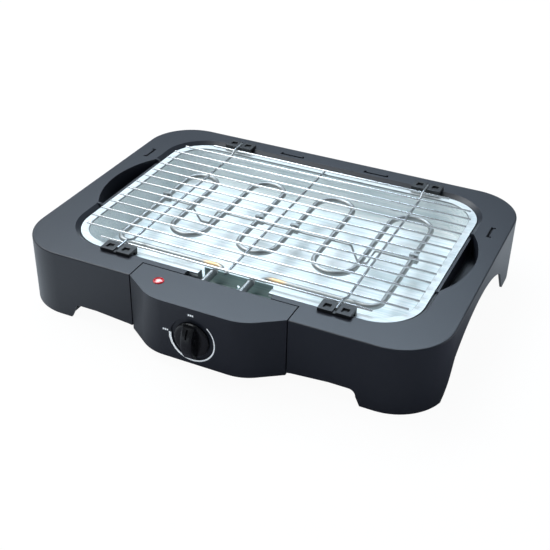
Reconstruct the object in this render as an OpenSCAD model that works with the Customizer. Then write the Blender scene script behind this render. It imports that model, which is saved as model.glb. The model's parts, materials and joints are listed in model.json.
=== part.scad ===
// Open tabletop electric grill: moulded housing, steel water tray, lift-out heating unit and wire rack.
// Millimetres. The origin is on the table, under the middle of the whole outline; +Y is the back.

/* [Housing] */
// Width of the housing, left to right
body_w = 500; // [490:1:520]
// Depth of the housing without the bulge of the control box
body_d = 364; // [360:1:380]
// Height of the flat rim above the table
rim_h = 81.4; // [80:0.2:90]
// Radius of the housing's corners seen from above
corner_r = 60; // [54:1:66]
// Thickness of the moulded walls
wall = 2.8; // [2.4:0.1:3.2]
// Width of the rim at the left and the right
side_rim = 36.4; // [34:0.2:40]
// Width of the rim at the front
front_rim = 35.5; // [34:0.5:38]
// Width of the rim at the back
back_rim = 24.5; // [23:0.5:30]
// Height of the cut-out under the front and the back wall
front_lift = 19.5; // [16:0.5:22]
// Height of the arch under the left and the right wall
arch_h = 62; // [56:1:64]

/* [Tray] */
// Depth of the tray below its flange
tray_depth = 38; // [32:1:42]
// Width of the tray's flange
flange_w = 9.6; // [9:0.1:12]
// Thickness of the tray's sheet
sheet = 0.8; // [0.6:0.1:1]

/* [Rack] */
// Number of long bars
bar_count = 15; // [13:2:17]
// Diameter of the long bars
bar_d = 2.6; // [2.2:0.1:3]
// Diameter of the three cross wires
cross_d = 3; // [2.6:0.1:3.4]
// Distance from the middle to the outer cross wires
cross_x = 130.5; // [120:0.5:140]

/* [Heating element] */
// Diameter of the element's tube
tube_d = 6.6; // [6:0.1:7]
// Height of the element's loops above the tray's floor
element_lift = 26; // [22:0.5:28]
// Distance between the first two long runs
first_gap = 41.2; // [40:0.2:43]
// How much wider each next gap is
gap_growth = 1.7; // [1:0.1:2]

/* [Control box] */
// Width of the control box
box_w = 184.6; // [176:0.2:196]
// How far the box stands out in front of the housing
box_bulge = 26.5; // [22:0.5:30]
// Angle of the box's slanted cheeks
cheek_angle = 35; // [30:1:40]
// Thickness of the box's walls
box_wall = 3; // [2.6:0.1:3.2]
// Distance between the two ends of the element
terminal_gap = 45; // [40:0.5:48]

/* [Knob] */
// Diameter of the knob
knob_d = 41; // [36:0.5:44]
// How far the knob's grip stands out of the box
knob_reach = 14; // [12:0.5:18]
// Height of the knob's axis above the table
knob_z = 43; // [40:0.5:46]

/* [Hidden] */
$fn = 64;

// Colours as seen on the object
moulding_colour = "#3b4048";
steel_colour = "#c4ced2";
chrome_colour = "#e4e8ea";
tube_colour = "#8b9191";
black_colour = "#17181b";
ceramic_colour = "#ddd8cc";
brass_colour = "#c8a452";
red_colour = "#c8323a";

// Named clearances and small sizes
eps = 0.01;
drop_gap = 1.2;
box_gap = 1.2;
seat_gap = 0.3;
bore_gap = 0.05;
joint_swell = 1.05;
bend_swell = 0.06;
screw_d = 3;
head_d = 5.6;
head_h = 1.8;
pad_d = 18;
pad_h = 3;
pad_proud = 1;

// Places worked out from the driving sizes
front_y = -body_d / 2;
to_origin = (box_bulge + knob_reach) / 2;
open_hx = body_w / 2 - side_rim;
open_hy = (body_d - front_rim - back_rim) / 2;
open_y = (front_rim - back_rim) / 2;
chamfer_w = 4.8;
chamfer_h = 4.4;
open_r = corner_r - 4;
tray_hx = open_hx - chamfer_w - drop_gap;
tray_hy = open_hy - chamfer_w - drop_gap;
tray_r = open_r - chamfer_w - drop_gap;
flange_z = rim_h - 4.1;
lip_h = 4.3;
ledge_z = flange_z - lip_h;
ledge_w = flange_w - sheet;
wall_slope = 5.4;
floor_z = flange_z - tray_depth;

bar_pitch = 2 * (tray_hy - 11.3) / (bar_count - 1);
bar_z = rim_h + 1.2;
last_bar = (bar_count - 1) / 2 * bar_pitch;
cross_z = bar_z - (bar_d + cross_d) / 2;
run_z = bar_z + (bar_d + cross_d) / 2;
run_end = tray_hy + 6;
middle_x = -3.5;
holder_y = tray_hy + 3.5;
holder_w = 37;
holder_d = 18;
holder_top = run_z + 0.2;
rivet_d = 2.4;
rivet_x = 10;
rivet_y = holder_y - 6.7;

element_z = floor_z + element_lift;
element_x0 = -(first_gap * 7 + gap_growth * 21) / 2 - 1.5;
element_back = open_y + 98.5;
element_front = open_y - 62.5;
element_run_y = open_y - 106;
first_back = element_back - 18;
corner_bend = 16;
lead_z = flange_z - 1.3;
cut_x = 9.5;
cut_hw = 42.5;
sleeve_d = 8.5;
sleeve_end = front_y + 57;
terminal_x = cut_x - 6.5;
wire_d = 2.4;
wire_z = element_z - (tube_d + wire_d) / 2;
wire_y = open_y + 11.5;

box_hw = box_w / 2;
box_front = front_y - box_bulge;
box_back = front_y + 27;
box_low = 11.5;
cheek_r = 50;
cheek_nx = sin(cheek_angle);
cheek_ny = cos(cheek_angle);
cheek_cy = box_front + cheek_r;
cheek_cx = box_hw + (cheek_ny * (cheek_cy - front_y) - cheek_r) / cheek_nx;
bay_lip = 15.4;
shelf_z = 27;
shelf_h = 3;
shelf_w = 8.4;
shelf_d = 16;
shelf_y = front_y + 14;
knob_x = -3;
dish_d = 50.4;
dish_h = 1.8;
boss_h = 1.6;
dish_y = box_front + dish_h;
mount_y = box_front + box_wall + boss_h;
shaft_d = 6;
bush_d = 10;
lens_x = -59;
lens_y = front_y + 4;
lens_d = 12.2;
gland_x = 42;
clamp_x = 9.5;
clamp_y = box_back - 16;
gland_z = 27;
gland_bore = 7.2;
cord_way = 14;
plunger_d = 3;
plunger_x = box_hw - 5.3;
shield_t = 1;
shield_y = box_back + 29;
shield_low = flange_z - 16;
block_x = 12;
block_y = front_y - 5;
cover_top = box_low + box_wall;
switch_z = shelf_z + box_wall;
switch_x = plunger_x - 17.7;
switch_w = 6.4;
switch_h = 11;
hole_z = cover_top + 6.5;
lead_d = 2;
pin_d = 2.6;
pin_end = box_back - 16;
tab_x = 9;
tab_y = mount_y + 22;
tab_top = knob_z + 6.8;
shield_screw_x = 36;
shield_screw_z = shield_low + 6;
lamp_h = 19;
lamp_low = rim_h - 3 - lamp_h;

function run_x(i) = element_x0 + i * first_gap + gap_growth * i * (i - 1) / 2;
function loop_back(i) = i == 0 ? first_back : element_back;
function bar_half(i) = let (k = min(i, bar_count - 1 - i)) tray_hx - (k == 0 ? 44 : (k == 1 ? 11.6 : 6.3));
function foot_side(i) = i % 2 == 0 ? -1 : 1;
function foot_end(i) = i < 2 ? -1 : 1;

// Block with rounded upright edges, half sizes hx and hy, from z0 to z1
module rounded_block(hx, hy, r, z0, z1) {
    translate([-hx, -hy + r, z0]) cube([2 * hx, 2 * (hy - r), z1 - z0]);
    translate([-hx + r, -hy, z0]) cube([2 * (hx - r), 2 * hy, z1 - z0]);
    for (sx = [-1, 1], sy = [-1, 1]) {
        translate([sx * (hx - r), sy * (hy - r), z0]) cylinder(r = r, h = z1 - z0, $fn = 96);
    }
}

// Carries a flat profile round a rounded rectangle; the profile's x is the distance outwards
module swept(hx, hy, r) {
    for (a = [0, 180]) {
        rotate([0, 0, a]) translate([hx, hy - r, 0]) rotate([90, 0, 0]) linear_extrude(2 * (hy - r))
            children();
        rotate([0, 0, a + 90]) translate([hy, hx - r, 0]) rotate([90, 0, 0])
            linear_extrude(2 * (hx - r)) children();
        rotate([0, 0, a]) translate([hx - r, hy - r, 0]) rotate_extrude(angle = 90, $fn = 96)
            translate([r, 0]) children();
        rotate([0, 0, a + 90]) translate([hy - r, hx - r, 0]) rotate_extrude(angle = 90, $fn = 96)
            translate([r, 0]) children();
    }
}

// Straight round rod between two points
module rod(a, b, d) {
    v = b - a;
    len = norm(v);
    translate(a) rotate([0, acos(v.z / len), atan2(v.y, v.x)]) cylinder(d = d, h = len, $fn = 24);
}

// Rod through a list of points, with round joints a little thicker than the rod
module bent_rod(points, d) {
    for (i = [1:len(points) - 1]) rod(points[i - 1], points[i], d);
    for (i = [1:len(points) - 2]) translate(points[i]) sphere(d = d * joint_swell, $fn = 24);
}

// Flat bend of a tube about an upright axis, swollen a little as a bent tube is
module tube_bend(x, y, z, r, from, sweep, d) {
    translate([x, y, z]) rotate([0, 0, from]) rotate_extrude(angle = sweep, $fn = 64) translate([r, 0]) {
        circle(d = d + bend_swell, $fn = 24);
    }
}

// Direction of a flat wire's piece that ends at point i, and how much the wire turns there
function heading(p, i) = atan2(p[i].y - p[i - 1].y, p[i].x - p[i - 1].x);
function turn(p, i) = heading(p, i + 1) - heading(p, i);

// Distance from a corner at which its bend starts, less a small overlap; none at the wire's ends
function bend_reach(p, i, r) = i == 0 || i == len(p) - 1 ? 0 : r * tan(abs(turn(p, i)) / 2) - 10 * eps;

// Wire bent in one plane, with round bends
module flat_wire(p, r, d) {
    for (i = [1:len(p) - 1]) {
        h = heading(p, i);
        along = [cos(h), sin(h), 0];
        from = [p[i - 1].x, p[i - 1].y, 0] + bend_reach(p, i - 1, r) * along;
        rod(from, [p[i].x, p[i].y, 0] - bend_reach(p, i, r) * along, d);
    }
    for (i = [1:len(p) - 2]) {
        h = heading(p, i);
        t = turn(p, i);
        s = sign(t);
        reach = r * tan(abs(t) / 2);
        x = p[i].x - reach * cos(h) - s * r * sin(h);
        y = p[i].y - reach * sin(h) + s * r * cos(h);
        tube_bend(x, y, 0, r, s > 0 ? h - 90 : h + 90 + t, abs(t), d);
    }
}

// Pan head screw, its head's underside at the origin and its shank along +Z
module screw(length) {
    translate([0, 0, -head_h]) cylinder(d = head_d, h = head_h, $fn = 32);
    cylinder(d = screw_d, h = length, $fn = 32);
}

// Thin C-shaped slot through the rim, its back along Y and its ends towards +X
module rim_slot(length) {
    slot_w = 3;
    slot_end = 5.5;
    translate([0, -length / 2, rim_h - 2 * wall]) cube([slot_w, length, 3 * wall]);
    for (s = [-1, 1]) translate([0, s * (length - slot_w) / 2 - slot_w / 2, rim_h - 2 * wall])
        cube([slot_end, slot_w, 3 * wall]);
}

// Lens-shaped block between the straight opening edge and a bow, for a hand grip at +X
module grip_bow(grow, z0, z1, inward = 0) {
    bow_depth = 19;
    bow_half = 66;
    bow_r = (bow_depth * bow_depth + bow_half * bow_half) / (2 * bow_depth);
    inner_x = tray_hx + drop_gap + wall - grow - inward;
    intersection() {
        translate([open_hx + bow_depth - bow_r, open_y, z0])
            cylinder(r = bow_r + grow, h = z1 - z0, $fn = 128);
        translate([inner_x, open_y - bow_half - grow, z0])
            cube([2 * bow_depth + inward, 2 * (bow_half + grow), z1 - z0]);
    }
}

// Outline of the control box, drawn in by an inset
module box_plan(inset, z0, z1) {
    side_y = front_y + inset * (1 - cheek_nx) / cheek_ny;
    r = cheek_r - inset;
    half = [
        [box_hw - inset, box_back - inset],
        [box_hw - inset, side_y],
        [cheek_cx + r * cheek_nx, cheek_cy - r * cheek_ny],
        [cheek_cx, cheek_cy],
        [cheek_cx, box_front + inset],
    ];
    other = [for (i = [len(half) - 1:-1:0]) [-half[i].x, half[i].y]];
    translate([0, 0, z0]) {
        linear_extrude(z1 - z0) polygon(concat(half, other));
        for (s = [-1, 1]) intersection() {
            translate([s * cheek_cx, cheek_cy, 0]) cylinder(r = r, h = z1 - z0, $fn = 96);
            translate([s * cheek_cx - r, cheek_cy - r, 0]) cube([2 * r, r, z1 - z0]);
        }
    }
}

// Cuts under the walls that leave the four feet
module foot_cuts() {
    foot_x = body_w / 2 - 74;
    step_r = 8;
    reach = body_w;
    arch_r = 193;
    arch_y = -22;
    leg_front = -body_d / 2 + 41;
    leg_back = body_d / 2 - 78;
    shoulder = 30;
    under = [
        [foot_x, -1], [foot_x - 6, front_lift - step_r], [foot_x - 14, front_lift],
        [foot_x - 36, front_lift], [box_hw, bay_lip],
    ];
    mirrored = [for (i = [len(under) - 1:-1:0]) [-under[i].x, under[i].y]];
    rotate([90, 0, 0]) linear_extrude(reach, center = true) polygon(concat(under, mirrored));
    for (s = [-1, 1]) {
        translate([s * (foot_x - 14), 0, front_lift - step_r]) rotate([90, 0, 0])
            cylinder(r = step_r, h = reach, center = true);
    }
    intersection() {
        translate([0, arch_y, arch_h - arch_r]) rotate([0, 90, 0])
            cylinder(r = arch_r, h = 2 * reach, center = true, $fn = 180);
        rotate([90, 0, 90]) linear_extrude(2 * reach, center = true) polygon([
            [leg_front, -1], [leg_front + shoulder, arch_h - 22], [leg_front + shoulder, rim_h],
            [leg_back - shoulder + 2, rim_h], [leg_back - shoulder + 2, arch_h - 26], [leg_back, -1],
        ]);
    }
}

module housing() {
    pocket_z = rim_h - 26;
    bay_hw = box_hw + box_gap;
    bay_back = box_back + box_gap;
    gap_hw = 51.5;
    web_x = body_w / 2 - 72;
    pad_top = pad_proud + pad_h;
    color(moulding_colour) difference() {
        union() {
            difference() {
                rounded_block(body_w / 2, body_d / 2, corner_r, pad_proud, rim_h);
                rounded_block(body_w / 2 - wall, body_d / 2 - wall, corner_r - wall, -1, rim_h - wall);
                translate([0, open_y, 0])
                    rounded_block(open_hx, open_hy, open_r, rim_h - 2 * wall, rim_h + 1);
                foot_cuts();
            }
            translate([0, open_y, 0]) swept(tray_hx + drop_gap, tray_hy + drop_gap,
                tray_r + drop_gap) polygon([
                [chamfer_w, rim_h], [0, rim_h - chamfer_h], [0, ledge_z], [-ledge_w, ledge_z],
                [-ledge_w, ledge_z - wall], [wall, ledge_z - wall], [wall, rim_h - chamfer_h - wall / 2],
                [chamfer_w + wall, rim_h - wall], [chamfer_w + wall, rim_h],
            ]);
            for (s = [0, 1]) mirror([s, 0, 0]) grip_bow(wall, pocket_z - wall, rim_h - eps);
            difference() {
                translate([-bay_hw - wall, front_y, bay_lip])
                    cube([2 * (bay_hw + wall), bay_back + wall - front_y, rim_h - bay_lip]);
                translate([-bay_hw, front_y - 1, 0]) cube([2 * bay_hw, bay_back - front_y + 1, rim_h + 1]);
            }
            for (s = [-1, 1]) {
                translate([s * (bay_hw - shelf_w / 2 + eps), shelf_y, shelf_z - shelf_h / 2])
                    cube([shelf_w, shelf_d, shelf_h], center = true);
                for (x = [120, 165]) {
                    translate([s * x - 1, front_y + wall - eps, ledge_z - 30])
                        cube([2, front_rim - wall, rim_h - wall - ledge_z + 30 + eps]);
                    translate([s * x - 1, body_d / 2 - back_rim + chamfer_w - wall, ledge_z - 30])
                        cube([2, back_rim - chamfer_w, rim_h - wall - ledge_z + 30 + eps]);
                }
            }
            for (x = [-60, 0, 60]) {
                translate([x - 1, body_d / 2 - back_rim + chamfer_w - wall, ledge_z - 30])
                    cube([2, back_rim - chamfer_w, rim_h - wall - ledge_z + 30 + eps]);
            }
            for (s = [-1, 1], e = [-1, 1]) intersection() {
                rounded_block(body_w / 2 - eps, body_d / 2 - eps, corner_r - eps, pad_proud, pad_top);
                translate([s > 0 ? web_x : -body_w / 2, e > 0 ? body_d / 2 - 39 : -body_d / 2, 0])
                    cube([body_w / 2 - web_x, 39, 10]);
            }
        }
        translate([-bay_hw, front_y - 1, 0])
            cube([2 * bay_hw, shelf_y - shelf_d / 2 - front_y + 1, rim_h + 1]);
        translate([-bay_hw + shelf_w, front_y - 1, 0])
            cube([2 * (bay_hw - shelf_w), bay_back - front_y + 1, rim_h + 1]);
        translate([-bay_hw, front_y - 1, shelf_z]) cube([2 * bay_hw, bay_back - front_y + 1, rim_h]);
        translate([cut_x, open_y - open_hy, 0]) rounded_block(gap_hw, 20, 4, shield_low - 3, rim_h + 1);
        for (s = [0, 1]) mirror([s, 0, 0]) {
            grip_bow(0, pocket_z, rim_h + 1);
            grip_bow(0, rim_h - chamfer_h, rim_h + 1, wall + 1);
        }
        for (s = [0, 1]) mirror([s, 0, 0]) translate([body_w / 2 - 22.5, 85, 0]) rim_slot(25);
        for (s = [-1, 1]) translate([s * 59, body_d / 2 - 20, 0]) rotate([0, 0, 90]) rim_slot(33);
        translate([gland_x - 11, bay_back - 1, 0]) cube([22, wall + 2, shield_low]);
        translate([gland_x - cord_way / 2, body_d / 2 - wall - 1, 0])
            cube([cord_way, wall + 2, gland_z]);
        translate([gland_x, body_d / 2 + 1, gland_z]) rotate([90, 0, 0])
            cylinder(d = cord_way, h = wall + 2);
        for (i = [0:3])
            translate([foot_side(i) * (body_w / 2 - 35), foot_end(i) * (body_d / 2 - 22), 0])
            cylinder(d = pad_d, h = pad_h);
    }
}

module foot_pad(i) {
    color(black_colour)
        translate([foot_side(i) * (body_w / 2 - 35), foot_end(i) * (body_d / 2 - 22), 0])
        cylinder(d = pad_d, h = pad_h);
}

// Pressed tray: a lip that stands on the housing's ledge, a flange, sloping walls and a flat floor
module water_tray() {
    low = -flange_w - wall_slope;
    bend = 2;
    cut_low = shield_low - 1.5;
    color(steel_colour) difference() {
        union() {
            translate([0, open_y, 0]) swept(tray_hx, tray_hy, tray_r) polygon([
                [0, ledge_z], [0, flange_z], [-flange_w, flange_z], [low, floor_z + sheet + bend],
                [low - bend, floor_z + sheet], [low - bend - 1, floor_z + sheet], [low - bend - 1,
                    floor_z],
                [low - bend + sheet / 2, floor_z], [low + sheet, floor_z + bend],
                [sheet - flange_w, flange_z - sheet], [-sheet, flange_z - sheet], [-sheet, ledge_z],
            ]);
            translate([0, open_y, 0])
                rounded_block(tray_hx + low - bend, tray_hy + low - bend, tray_r + low - bend, floor_z,
                floor_z + sheet);
        }
        translate([cut_x - cut_hw, open_y - tray_hy - 1, cut_low]) cube([2 * cut_hw, 24, rim_h]);
        for (i = [0:3], s = [-1, 1]) {
            translate([foot_side(i) * cross_x + s * rivet_x, open_y + foot_end(i) * rivet_y, flange_z - 2])
                cylinder(d = rivet_d + 2 * bore_gap, h = 4, $fn = 24);
        }
    }
}

// Black rack holder on the tray's flange, with a slot for the rack's wire
module rack_holder(i) {
    hole = 7.5;
    foot_in = 4.6;
    foot_y = foot_end(i) > 0 ? -holder_d / 2 : holder_d / 2 - foot_in;
    slot_w = cross_d + 2 * 0.2;
    low = rim_h + seat_gap;
    color(black_colour)
        translate([foot_side(i) * cross_x, open_y + foot_end(i) * holder_y, 0]) difference() {
        union() {
            translate([-holder_w / 2, -holder_d / 2, low]) cube([holder_w, holder_d, holder_top - low]);
            translate([-holder_w / 2, foot_y, flange_z]) cube([holder_w, foot_in, rim_h - flange_z + 1]);
        }
        translate([-slot_w / 2, -holder_d, run_z - cross_d / 2]) cube([slot_w, 2 * holder_d, cross_d + 1]);
        for (s = [-1, 1]) {
            translate([s * rivet_x - hole / 2, foot_end(i) - hole / 2, holder_top - 2.4])
                cube([hole, hole, 10]);
            translate([s * rivet_x, foot_end(i) * (rivet_y - holder_y), flange_z - 1])
                cylinder(d = rivet_d, h = 4, $fn = 24);
        }
    }
}

// Two rivets in each holder, through the tray's flange
module holder_rivets() {
    rivet_h = 3;
    color(steel_colour) for (i = [0:3], s = [-1, 1]) {
        translate([foot_side(i) * cross_x + s * rivet_x, open_y + foot_end(i) * rivet_y,
            flange_z - sheet]) {
            cylinder(d = rivet_d, h = rivet_h + sheet, $fn = 24);
            translate([0, 0, -0.8]) cylinder(d = 4.4, h = 0.8, $fn = 24);
        }
    }
}

// Long bars of the rack, the outermost ones shorter
module rack_bars() {
    color(chrome_colour) for (i = [0:bar_count - 1]) {
        y = open_y + (i - (bar_count - 1) / 2) * bar_pitch;
        translate([-bar_half(i), y, bar_z]) rotate([0, 90, 0])
            cylinder(d = bar_d, h = 2 * bar_half(i), $fn = 24);
    }
}

// Middle cross wire, welded under the bars
module middle_wire() {
    reach = last_bar + 3;
    color(chrome_colour)
        rod([middle_x, open_y - reach, cross_z], [middle_x, open_y + reach, cross_z], cross_d);
}

// Outer cross wire, which rises over the last bars and ends in the holders
module outer_wire(s) {
    rise_from = last_bar - bar_pitch + 4;
    rise_to = last_bar - 2;
    color(chrome_colour) translate([s * cross_x, open_y, 0]) rotate([90, 0, 90]) flat_wire([
        [-run_end, run_z], [-rise_to, run_z], [-rise_from, cross_z],
        [rise_from, cross_z], [rise_to, run_z], [run_end, run_z],
    ], 2 * cross_d, cross_d);
}

// Tubular element: two ends from the box, a run along the front, and loops to the back and the front
module heating_element() {
    bend_r = 12;
    slope_y = element_run_y - bend_r;
    color(tube_colour) {
        for (i = [0:7]) {
            m = i % 2 == 0 ? i : i + 1;
            outer = i == 0 || i == 7;
            y0 = outer ? element_run_y + corner_bend : element_front + (run_x(m) - run_x(m - 1)) / 2;
            k = floor(i / 2);
            y1 = loop_back(k) - (run_x(2 * k + 1) - run_x(2 * k)) / 2;
            rod([run_x(i), y0, element_z], [run_x(i), y1, element_z], tube_d);
        }
        for (k = [0:3]) {
            r = (run_x(2 * k + 1) - run_x(2 * k)) / 2;
            tube_bend(run_x(2 * k) + r, loop_back(k) - r, element_z, r, 0, 180, tube_d);
        }
        for (k = [0:2]) {
            r = (run_x(2 * k + 2) - run_x(2 * k + 1)) / 2;
            tube_bend(run_x(2 * k + 1) + r, element_front + r, element_z, r, 180, 180, tube_d);
        }
        tube_bend(run_x(0) + corner_bend, element_run_y + corner_bend, element_z, corner_bend, 180, 90,
            tube_d);
        tube_bend(run_x(7) - corner_bend, element_run_y + corner_bend, element_z, corner_bend, 270, 90,
            tube_d);
        for (s = [-1, 1]) {
            end_x = terminal_x + s * terminal_gap / 2;
            far_x = s < 0 ? run_x(0) + corner_bend : run_x(7) - corner_bend;
            rod([end_x + s * bend_r, element_run_y, element_z], [far_x, element_run_y, element_z], tube_d);
            tube_bend(end_x + s * bend_r, slope_y, element_z, bend_r, s < 0 ? 0 : 90, 90, tube_d);
            bent_rod([
                [end_x, slope_y, element_z], [end_x, slope_y - 2, element_z],
                [end_x, sleeve_end, lead_z], [end_x, box_back - 4, lead_z],
            ], tube_d);
        }
    }
}

module element_sleeve(s) {
    color(steel_colour) translate([terminal_x + s * terminal_gap / 2, sleeve_end - 3, lead_z])
        rotate([90, 0, 0]) difference() {
        cylinder(d = sleeve_d, h = sleeve_end - 3 - box_back + 4);
        translate([0, 0, -1]) cylinder(d = tube_d + 2 * bore_gap, h = 60);
    }
}

module terminal_pin(s) {
    color(steel_colour) translate([terminal_x + s * terminal_gap / 2, box_back - 4, lead_z])
        rotate([90, 0, 0]) {
        cylinder(d = 4.6, h = 3, $fn = 32);
        cylinder(d = pin_d, h = 12, $fn = 24);
    }
}

// Wire under the element, with two feet that stand on the tray's floor
module support_wire() {
    foot_z = floor_z + sheet + (wire_d + bend_swell) / 2;
    left = -111;
    right = 99;
    color(tube_colour) translate([0, wire_y, 0]) rotate([90, 0, 0]) flat_wire([
        [run_x(0) - 6, wire_z], [left - 19, wire_z], [left - 6, foot_z], [left + 6, foot_z],
        [left + 19, wire_z], [right - 15, wire_z], [right - 6, foot_z], [right + 6, foot_z],
        [right + 15, wire_z], [run_x(7) + 6, wire_z],
    ], 1.6 * wire_d, wire_d);
}

// Clip that holds the tube and the wire together; k picks the run it sits on
module element_clip(k) {
    color("#4b4f50") translate([run_x([0, 3, 4, 7][k]), wire_y, 0]) difference() {
        translate([-5.2, -2.5, wire_z - wire_d / 2 - 1]) cube([10.4, 5, tube_d + wire_d + 2]);
        translate([0, 5, element_z]) rotate([90, 0, 0])
            cylinder(d = tube_d + 2 * bore_gap, h = 10, $fn = 32);
        translate([-10, 0, wire_z]) rotate([0, 90, 0])
            cylinder(d = wire_d + 2 * bore_gap, h = 20, $fn = 24);
    }
}

// Bent steel shield between the box and the tray
module heat_shield() {
    hw = cut_hw - 1.2;
    top = flange_z + 0.6;
    color(steel_colour) difference() {
        translate([cut_x, 0, 0]) {
            translate([-hw, box_back, shield_low]) cube([2 * hw, shield_t, rim_h - 1.4 - shield_low]);
            translate([-hw, box_back, shield_low]) cube([2 * hw, shield_y - box_back, shield_t]);
            translate([-hw, shield_y - shield_t, shield_low]) cube([2 * hw, shield_t, top - shield_low]);
        }
        for (s = [-1, 1]) {
            translate([terminal_x + s * terminal_gap / 2, shield_y + 1, lead_z]) rotate([90, 0, 0])
                cylinder(d = sleeve_d + 2 * bore_gap, h = shield_y - box_back + 3);
            translate([cut_x + s * shield_screw_x, box_back + 2, shield_screw_z]) rotate([90, 0, 0])
                cylinder(d = screw_d + 2 * bore_gap, h = 4, $fn = 32);
        }
        translate([cut_x, shield_y + 1, shield_low + 3]) rotate([90, 0, 0])
            cylinder(d = 3.4, h = 4, $fn = 32);
    }
}

module shield_screws() {
    color(steel_colour) for (s = [-1, 1]) {
        translate([cut_x + s * shield_screw_x, box_back + shield_t, shield_screw_z]) rotate([90, 0, 0])
            screw(7);
    }
}

// Front and top shell of the control box
module box_shell() {
    notch_hw = shelf_w + box_gap;
    notch_h = shelf_z + box_wall - box_low;
    boss_d = 8;
    color(moulding_colour) difference() {
        union() {
            difference() {
                box_plan(0, box_low, rim_h);
                box_plan(box_wall, box_low - 1, rim_h - box_wall);
            }
            for (s = [-1, 1]) {
                translate([s > 0 ? box_hw - notch_hw - box_wall : -box_hw,
                    shelf_y - shelf_d / 2 - seat_gap - box_wall, box_low])
                    cube([notch_hw + box_wall, shelf_d + 2 * (seat_gap + box_wall), notch_h]);
                translate([s * 66, front_y - 7, cover_top])
                    cylinder(d = boss_d, h = rim_h - box_wall - cover_top + eps, $fn = 32);
                translate([s * 66, box_back - 8, cover_top]) cylinder(d = boss_d, h = 14, $fn = 32);
                translate([s * 66 - 1.5, box_back - 8, cover_top]) cube([3, 8 - eps, 14]);
            }
            translate([knob_x, mount_y, knob_z]) rotate([90, 0, 0])
                cylinder(d = dish_d + 5, h = mount_y - dish_y);
        }
        for (s = [-1, 1]) {
            translate([s > 0 ? box_hw - notch_hw : -box_hw - 1, shelf_y - shelf_d / 2 - seat_gap,
                box_low - 1])
                cube([notch_hw + 1, shelf_d + 2 * seat_gap, shelf_z - box_low + 1]);
            translate([s * 66, front_y - 7, 0]) cylinder(d = screw_d, h = cover_top + 10, $fn = 32);
            translate([s * 66, box_back - 8, 0]) cylinder(d = screw_d, h = cover_top + 10, $fn = 32);
            translate([terminal_x + s * terminal_gap / 2, box_back + 1, lead_z]) rotate([90, 0, 0])
                cylinder(d = sleeve_d + 2 * bore_gap, h = 6);
            translate([cut_x + s * shield_screw_x, box_back + 1, shield_screw_z]) rotate([90, 0, 0])
                cylinder(d = screw_d, h = 8, $fn = 32);
            translate([knob_x + s * 15, box_front + 8, knob_z]) rotate([90, 0, 0])
                cylinder(d = screw_d + 2 * bore_gap, h = 12, $fn = 32);
            translate([knob_x + s * 15, dish_y + head_h, knob_z]) rotate([90, 0, 0])
                cylinder(d = head_d + 2 * bore_gap, h = 8, $fn = 32);
        }
        translate([knob_x, dish_y, knob_z]) rotate([90, 0, 0]) cylinder(d = dish_d, h = 6, $fn = 128);
        translate([knob_x, mount_y + 1, knob_z]) rotate([90, 0, 0])
            cylinder(d = bush_d + 2 * bore_gap, h = 12);
        translate([lens_x, lens_y, rim_h - 6]) cylinder(d = lens_d - 1.8, h = 10);
        translate([gland_x, box_back + 1, gland_z]) rotate([90, 0, 0]) cylinder(d = 12, h = box_wall + 2);
        translate([plunger_x, shelf_y, shelf_z - 1])
            cylinder(d = plunger_d + 2 * seat_gap, h = box_wall + 2, $fn = 32);
    }
}

// Cover that closes the control box from below
module box_bottom() {
    inset = box_wall + 0.2;
    notch_w = shelf_w + 2 * box_gap + box_wall;
    color(moulding_colour) difference() {
        union() {
            box_plan(inset, box_low, cover_top);
            for (s = [-1, 1]) translate([gland_x + s * clamp_x, clamp_y, cover_top - eps])
                cylinder(d = 7, h = gland_z - cover_top - 1, $fn = 32);
        }
        for (s = [-1, 1]) {
            translate([s > 0 ? box_hw - notch_w : -box_hw,
                shelf_y - shelf_d / 2 - 2 * seat_gap - box_wall, box_low - 1])
                cube([notch_w, shelf_d + 4 * seat_gap + 2 * box_wall, box_wall + 2]);
            for (y = [front_y - 7, box_back - 8]) translate([s * 66, y, box_low - 1]) {
                cylinder(d = screw_d + 2 * bore_gap, h = 10, $fn = 32);
                cylinder(d = head_d + 2 * bore_gap, h = 1 + head_h, $fn = 32);
            }
            translate([gland_x + s * clamp_x, clamp_y, box_low + 1])
                cylinder(d = screw_d, h = 30, $fn = 32);
        }
    }
}

module bottom_screws() {
    color(steel_colour) for (s = [-1, 1], y = [front_y - 7, box_back - 8])
        translate([s * 66, y, box_low + head_h]) screw(9);
}

// Thermostat with its plate against the box's front and a bush through the wall
module thermostat() {
    color("#9a9c98") translate([knob_x, 0, knob_z]) difference() {
        union() {
            translate([-20, mount_y, -8]) cube([40, 1.2, 16]);
            translate([0, mount_y + 17, 0]) rotate([90, 0, 0]) cylinder(d = 30, h = 17 - eps);
            translate([0, mount_y + eps, 0]) rotate([90, 0, 0])
                cylinder(d = bush_d, h = mount_y - dish_y, $fn = 48);
            for (s = [-1, 1]) translate([s * tab_x - 3, mount_y + 16, tab_top - knob_z - 0.8])
                cube([6, 9, 0.8]);
        }
        translate([0, mount_y + 15, 0]) rotate([90, 0, 0])
            cylinder(d = shaft_d + 2 * bore_gap, h = 40, $fn = 48);
        for (s = [-1, 1]) translate([s * 15, mount_y + 2, 0]) rotate([90, 0, 0])
            cylinder(d = screw_d, h = 4, $fn = 32);
    }
}

module thermostat_screws() {
    color(steel_colour) for (s = [-1, 1]) {
        translate([knob_x + s * 15, dish_y + head_h, knob_z]) rotate([-90, 0, 0])
            screw(mount_y - dish_y - head_h + 1.2);
    }
}

module thermostat_shaft() {
    color(steel_colour) translate([knob_x, mount_y + 12, knob_z]) rotate([90, 0, 0])
        cylinder(d = shaft_d, h = mount_y + 12 - box_front + 6, $fn = 48);
}

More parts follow.
